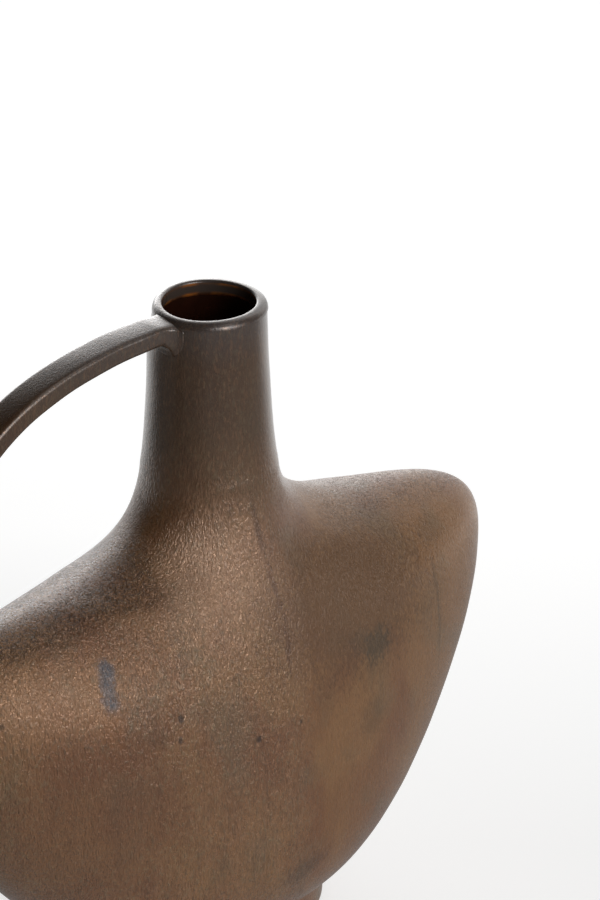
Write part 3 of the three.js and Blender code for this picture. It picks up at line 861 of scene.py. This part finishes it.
def lining_glaze():
    """The glossy, nearly black brown glaze of the inside, greyer above the collar step, which breaks
    to amber along the lip's inner edge and along the collar. The grey above the step is partly the
    thin glaze's own grey and partly painted light that lifts it out of the shade inside the mouth."""
    material, tree, shader = new_material("brown_lining_glaze")
    place = add(tree, "ShaderNodeTexCoord", {})["Object"]
    level = add(tree, "ShaderNodeSeparateXYZ", {"Vector": place})["Z"]
    cloud = add(tree, "ShaderNodeTexNoise", {
        "Vector": place, "Scale": 1 / CLOUD_SIZE, "Detail": 3.0,
    })["Fac"]
    above = add(tree, "ShaderNodeMapRange", {
        "Value": level, "From Min": RIM - COLLAR_HEIGHT - MM, "From Max": RIM - COLLAR_HEIGHT + MM,
    })[0]
    colour = add(tree, "ShaderNodeMix", {
        0: cloud, 6: shade("#140c08"), 7: shade("#3a1c10"),
    }, data_type="RGBA")[2]
    # Partly the thin glaze's own grey, partly painted light against the shade inside the mouth.
    colour = add(tree, "ShaderNodeMix", {
        0: above, 6: colour, 7: shade("#463c36"),
    }, data_type="RGBA")[2]
    broken = add(tree, "ShaderNodeMapRange", {
        "Value": cloud, "From Min": 0.4, "From Max": 0.62, "To Min": 0.12,
    })[0]
    for depth, half_width in AMBER_LINES:
        line = add(tree, "ShaderNodeMath", {0: level, 1: RIM - depth}, operation="SUBTRACT")[0]
        line = add(tree, "ShaderNodeMath", {0: line}, operation="ABSOLUTE")[0]
        line = add(tree, "ShaderNodeMapRange", {
            "Value": line, "From Min": half_width, "From Max": 0,
        })[0]
        line = add(tree, "ShaderNodeMath", {0: line, 1: broken}, operation="MULTIPLY")[0]
        colour = add(tree, "ShaderNodeMix", {
            0: line, 6: colour, 7: shade("#a86428"),
        }, data_type="RGBA")[2]
    tree.links.new(colour, shader.inputs["Base Color"])
    shader.inputs["Roughness"].default_value = 0.2
    wave = add(tree, "ShaderNodeBump", {"Strength": 0.4, "Distance": MM / 2, "Height": cloud})[0]
    tree.links.new(wave, shader.inputs["Normal"])
    return material


def bare_stoneware():
    """The fired clay without glaze on the standing edge: rough, grey-brown and sandy. The sand is
    drawn a little coarser than real grog."""
    material, tree, shader = new_material("bare_stoneware")
    place = add(tree, "ShaderNodeTexCoord", {})["Object"]
    sand = add(tree, "ShaderNodeTexNoise", {
        "Vector": place, "Scale": 1 / SAND_SIZE, "Detail": 3.0,
    })["Fac"]
    stain = add(tree, "ShaderNodeTexNoise", {
        "Vector": place, "Scale": 1 / STAIN_SIZE, "Detail": 2.0,
    })["Fac"]
    grit = add(tree, "ShaderNodeMapRange", {"Value": sand, "From Min": 0.55, "From Max": 0.75})[0]
    colour = add(tree, "ShaderNodeMix", {
        0: stain, 6: shade("#5f5044"), 7: shade("#85766a"),
    }, data_type="RGBA")[2]
    colour = add(tree, "ShaderNodeMix", {
        0: grit, 6: colour, 7: shade("#3d332b"),
    }, data_type="RGBA")[2]
    tree.links.new(colour, shader.inputs["Base Color"])
    shader.inputs["Roughness"].default_value = 0.85
    pits = add(tree, "ShaderNodeBump", {"Strength": 0.6, "Distance": MM / 5, "Height": sand})[0]
    tree.links.new(pits, shader.inputs["Normal"])
    return material


def seen(tree):
    """Two switches: one for rays from the camera, and one for those that the glaze mirrors or lets
    through, which show the backdrop too."""
    path = add(tree, "ShaderNodeLightPath", {})
    passing = add(tree, "ShaderNodeMath", {
        0: path["Is Glossy Ray"], 1: path["Is Transmission Ray"],
    }, operation="MAXIMUM")[0]
    return path["Is Camera Ray"], passing


def white_table(forward, right):
    """The white, even tabletop of the photograph, a matt laminate. It glows for the camera and more
    dimly in the glaze, and less beside and in front of the vase, which is painted shade; where the
    vase keeps the light off, its soft shadow shows."""
    material, tree, shader = new_material("white_table")
    shader.inputs["Roughness"].default_value = 0.9
    shader.inputs["Emission Color"].default_value = (1, 1, 1, 1)
    place = add(tree, "ShaderNodeNewGeometry", {})["Position"]
    across = add(tree, "ShaderNodeVectorMath", {0: place, 1: right}, operation="DOT_PRODUCT")["Value"]
    near = add(tree, "ShaderNodeMapRange", {
        "Value": across, "From Min": MIRROR_EDGE[0], "From Max": MIRROR_EDGE[1],
        "To Min": MIRRORED_GLOW[0], "To Max": MIRRORED_GLOW[1],
    })[0]
    away = add(tree, "ShaderNodeVectorMath", {0: place, 1: forward}, operation="DOT_PRODUCT")["Value"]
    far = add(tree, "ShaderNodeMapRange", {
        "Value": away, "From Min": MIRROR_FAR[0], "From Max": MIRROR_FAR[1],
    })[0]
    dim = add(tree, "ShaderNodeMath", {0: near, 1: far}, operation="MAXIMUM")[0]
    from_camera, passing = seen(tree)

    # A darker white for the camera, to which the glow is added
    pale = add(tree, "ShaderNodeMix", {
        0: from_camera, 6: shade("#ececea"), 7: shade("#bcbcbb"),
    }, data_type="RGBA")[2]
    tree.links.new(pale, shader.inputs["Base Color"])
    # Painted shade: the glow is lower beside and in front of the vase, so the table there is greyer.
    glow = add(tree, "ShaderNodeMapRange", {
        "Value": away, "From Min": GLOW_RANGE[0], "From Max": GLOW_RANGE[1],
        "To Min": TABLE_GLOW[0], "To Max": TABLE_GLOW[1],
    })[0]
    glow = add(tree, "ShaderNodeMath", {0: from_camera, 1: glow}, operation="MULTIPLY")[0]
    tree.links.new(glow, shader.inputs["Emission Strength"])
    mirrored = add(tree, "ShaderNodeEmission", {"Strength": dim})[0]
    mixed = add(tree, "ShaderNodeMixShader", {0: passing, 1: shader.outputs[0], 2: mirrored})[0]
    tree.links.new(mixed, tree.nodes["Material Output"].inputs["Surface"])
    return material


# Camera, floor and lights

PICTURE_WIDTH = 600
PICTURE_HEIGHT = 900
FOCAL_PIXELS = 3000                  # the lens's length in the picture's pixels
SENSOR = 36                          # the camera's sensor along the picture's height, in mm
RIM_PIXEL = (206.8, 300.1)           # where the photograph has the middle of the rim
CAMERA_DISTANCE = 1347 * MM          # eye to the middle of the rim, along the view
CAMERA_TURN = math.radians(-40.93)   # from straight ahead of the front face, towards the handle's side
CAMERA_DIP = math.radians(26.47)     # down from level
TABLE_REACH = 4                      # metres from the table's middle to its edges

# The soft boxes: azimuth from the front towards the right and elevation, both in degrees, tightness
# and strength

SOFTBOXES = (
    (-4, 21, 32, 7.8),               # broad front light, low and a little left of the middle
    (12, 9, 14, 1.8),
    (8, -1, 60, 1.9),
    (19, 58, 60, 1.8),
    (110, 44, 14, 1.3),              # over the right wing
    (97, 13, 14, 1.5),
    (150, 6, 14, 5.4),               # lit backdrop, right of the middle
)
TABLE_GLOW = (0.63, 0.77)            # part of the table's white that doesn't depend on the light
GLOW_RANGE = (0.05, 0.36)            # where that rises, from beside the vase to behind it: the lower glow beside and in front of the vase is painted shade
MIRRORED_GLOW = (0.18, 0.36)         # how bright the glaze mirrors the table, to its left and right
MIRROR_EDGE = (-0.25, -0.05)         # where that changes, across the camera's view
MIRROR_FAR = (0.12, 0.45)            # and where it rises to full white behind the vase
BACKDROP_EDGE = (0.55, 0.82)         # how far behind the vase the white backdrop starts and is full


def camera():
    """Looks down at the vase from its front left through a long lens."""
    forward = Vector((
        -math.sin(CAMERA_TURN) * math.cos(CAMERA_DIP),
        math.cos(CAMERA_TURN) * math.cos(CAMERA_DIP),
        -math.sin(CAMERA_DIP),
    ))
    right = Vector((math.cos(CAMERA_TURN), math.sin(CAMERA_TURN), 0))
    up = right.cross(forward)
    aside = (RIM_PIXEL[0] - PICTURE_WIDTH / 2) / FOCAL_PIXELS
    above = (PICTURE_HEIGHT / 2 - RIM_PIXEL[1]) / FOCAL_PIXELS
    data = bpy.data.cameras.new("camera")
    data.sensor_width = SENSOR
    data.lens = SENSOR * FOCAL_PIXELS / PICTURE_HEIGHT
    eye = bpy.data.objects.new("camera", data)
    eye.matrix_world = Matrix((right, up, -forward)).transposed().to_4x4()
    eye.location = Vector((0, 0, RIM)) - (forward + right * aside + up * above) * CAMERA_DISTANCE
    bpy.context.scene.collection.objects.link(eye)
    bpy.context.scene.camera = eye
    return forward, right


def studio(forward):
    """The world: soft boxes all round as the light, and the white backdrop behind the vase, which the
    camera sees and the glaze mirrors."""
    world = bpy.data.worlds.new("studio")
    bpy.context.scene.world = world
    world.use_nodes = True
    tree = world.node_tree
    tree.nodes.clear()
    way = add(tree, "ShaderNodeTexCoord", {})["Generated"]
    light = 0.0
    for azimuth, elevation, tightness, strength in SOFTBOXES:
        turn, rise = math.radians(azimuth), math.radians(elevation)
        centre = (math.sin(turn) * math.cos(rise), -math.cos(turn) * math.cos(rise), math.sin(rise))
        close = add(tree, "ShaderNodeVectorMath", {
            0: way, 1: centre,
        }, operation="DOT_PRODUCT")["Value"]
        close = add(tree, "ShaderNodeMath", {
            0: close, 1: tightness, 2: -tightness,
        }, operation="MULTIPLY_ADD")[0]
        box = add(tree, "ShaderNodeMath", {0: close}, operation="EXPONENT")[0]
        light = add(tree, "ShaderNodeMath", {
            0: box, 1: strength, 2: light,
        }, operation="MULTIPLY_ADD")[0]
    depth = add(tree, "ShaderNodeVectorMath", {
        0: way, 1: (forward.x, forward.y, 0),
    }, operation="DOT_PRODUCT")["Value"]
    behind = add(tree, "ShaderNodeMapRange", {
        "Value": depth, "From Min": BACKDROP_EDGE[0], "From Max": BACKDROP_EDGE[1],
    }, interpolation_type="SMOOTHSTEP")[0]
    from_camera, passing = seen(tree)
    mirrored = add(tree, "ShaderNodeMath", {0: passing, 1: behind}, operation="MULTIPLY")[0]
    light = add(tree, "ShaderNodeMath", {0: light, 1: mirrored}, operation="MAXIMUM")[0]
    strength = add(tree, "ShaderNodeMix", {0: from_camera, 2: light, 3: 1.0}, data_type="FLOAT")[0]
    background = add(tree, "ShaderNodeBackground", {"Strength": strength})[0]
    add(tree, "ShaderNodeOutputWorld", {"Surface": background})


forward, right = camera()

bronze = bronze_glaze("bronze_glaze", THIN_FROM)
gunmetal = bronze_glaze("gunmetal_glaze", 0)
lining = lining_glaze()
clay = bare_stoneware()

front = shell("front_half", -1, bronze, lining)
rear = shell("rear_half", 1, bronze, lining)
throat = neck(bronze, lining)

surface = bmesh.new()
surface.from_mesh(front.data)
surface.from_mesh(rear.data)
body = BVHTree.FromBMesh(surface)
surface.free()

grip = strap(body, gunmetal)
base = foot(bronze, clay)
slab = floor_slab(lining)

dress(front, "bronze_glaze", "front_shell")
dress(rear, "bronze_glaze", "rear_shell")
dress(throat, "dark_glaze", "neck")
dress(grip, "dark_glaze", "handle")
dress(base, "foot_clay", "foot_ring")
dress(slab, "lining_glaze", "floor_slab")

flat = bmesh.new()
bmesh.ops.create_grid(flat, x_segments=1, y_segments=1, size=TABLE_REACH)
ground = finish_mesh("ground", flat, white_table(forward, right))

studio(forward)
bpy.context.scene.view_settings.view_transform = "Standard"
